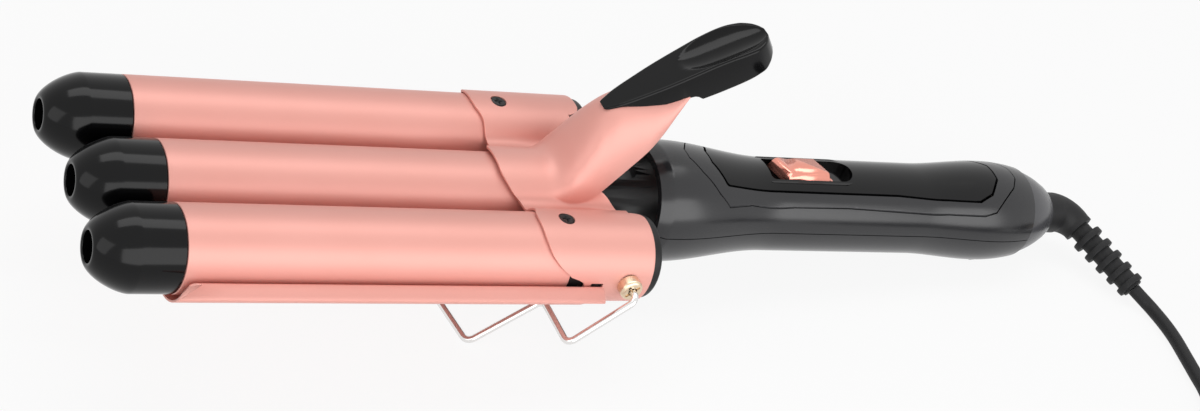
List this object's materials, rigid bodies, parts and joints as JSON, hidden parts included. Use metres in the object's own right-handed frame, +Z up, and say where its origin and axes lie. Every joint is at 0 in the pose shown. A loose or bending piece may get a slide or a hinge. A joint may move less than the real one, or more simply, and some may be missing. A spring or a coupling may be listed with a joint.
{
  "type": "hair_waver",
  "caption": "Triple-barrel hair waver lying on its wire stand, with a clamp lever, slide switch and a coiled swivel cord",
  "frame": {"origin": "Under the middle of the box of all pieces but the cord group, on the table that the stand and heel rest on", "axes": "+X runs along the tool from the barrels to the cord end, +Y towards its far side, +Z up from the table"},
  "size_m": [0.4231, 0.2319, 0.0982],
  "materials": {
    "rose_coating": "satin",
    "black_gloss": "gloss",
    "black_satin": "satin",
    "black_rubber": "matte",
    "rose_button": "gloss",
    "chrome_wire": "polished",
    "steel": "satin",
    "pale_brass": "satin",
    "cream_plastic": "matte",
    "heater_aluminium": "satin",
    "board": "satin"
  },
  "bodies": {
    "handle": {"middle_barrel": "rose_coating", "lower_plate": "rose_coating", "middle_barrel_cap": "black_gloss", "handle_upper_shell": "black_gloss", "handle_lower_shell": "black_gloss", "top_cover": "black_gloss", "top_inlay": "black_gloss", "end_cap": "black_gloss", "front_housing": "black_satin", "switch_body": "black_satin", "lever_spring": "chrome_wire", "hinge_tube": "steel", "front_plate_screw": "steel", "rear_plate_screw": "steel", "front_shell_screw": "steel", "rear_shell_screw": "steel", "near_hinge_screw": "pale_brass", "far_hinge_screw": "pale_brass", "near_hinge_spacer": "cream_plastic", "far_hinge_spacer": "cream_plastic", "spring_seat": "cream_plastic", "swivel_bush": "cream_plastic", "middle_heater": "heater_aluminium", "control_board": "board"},
    "jaw": {"bridge_plate": "rose_coating", "thumb_pad": "black_gloss", "front_pad_screw": "steel", "rear_pad_screw": "steel", "near_barrel": "rose_coating", "far_barrel": "rose_coating", "near_barrel_cap": "black_gloss", "far_barrel_cap": "black_gloss", "near_heater": "heater_aluminium", "far_heater": "heater_aluminium", "near_carrier": "black_satin", "far_carrier": "black_satin", "near_carrier_screw": "black_satin", "far_carrier_screw": "black_satin"},
    "stand": {"wire_stand": "chrome_wire"},
    "switch": {"power_slider": "rose_button"},
    "swivel": {"strain_relief": "black_rubber", "cord_lead": "black_rubber", "cord_coil": "black_rubber", "cord_tie": "black_rubber", "plug_body": "black_rubber", "inner_plug_pin": "pale_brass", "outer_plug_pin": "pale_brass"}
  },
  "joints": [
    {"name": "jaw_open", "type": "hinge", "parent": "handle", "child": "jaw", "pos_m": [-0.01187, 0, 0.03332], "axis": [0, 1, 0], "range_deg": [0, 18], "stiffness_Nm_per_rad": 0.8, "springref_deg": -22.92, "deforming": ["lever_spring"]},
    {"name": "stand_fold", "type": "hinge", "parent": "handle", "child": "stand", "pos_m": [-0.01187, 0, 0.03332], "axis": [0, -1, 0], "range_deg": [0, 108]},
    {"name": "power_slide", "type": "slide", "parent": "handle", "child": "switch", "axis": [0.9959, 0, -0.0901], "range_m": [0, 0.004]},
    {"name": "cord_swivel", "type": "hinge", "parent": "handle", "child": "swivel", "pos_m": [0.17205, 0, 0.01518], "axis": [0.9959, 0, -0.0901], "continuous": true}
  ]
}
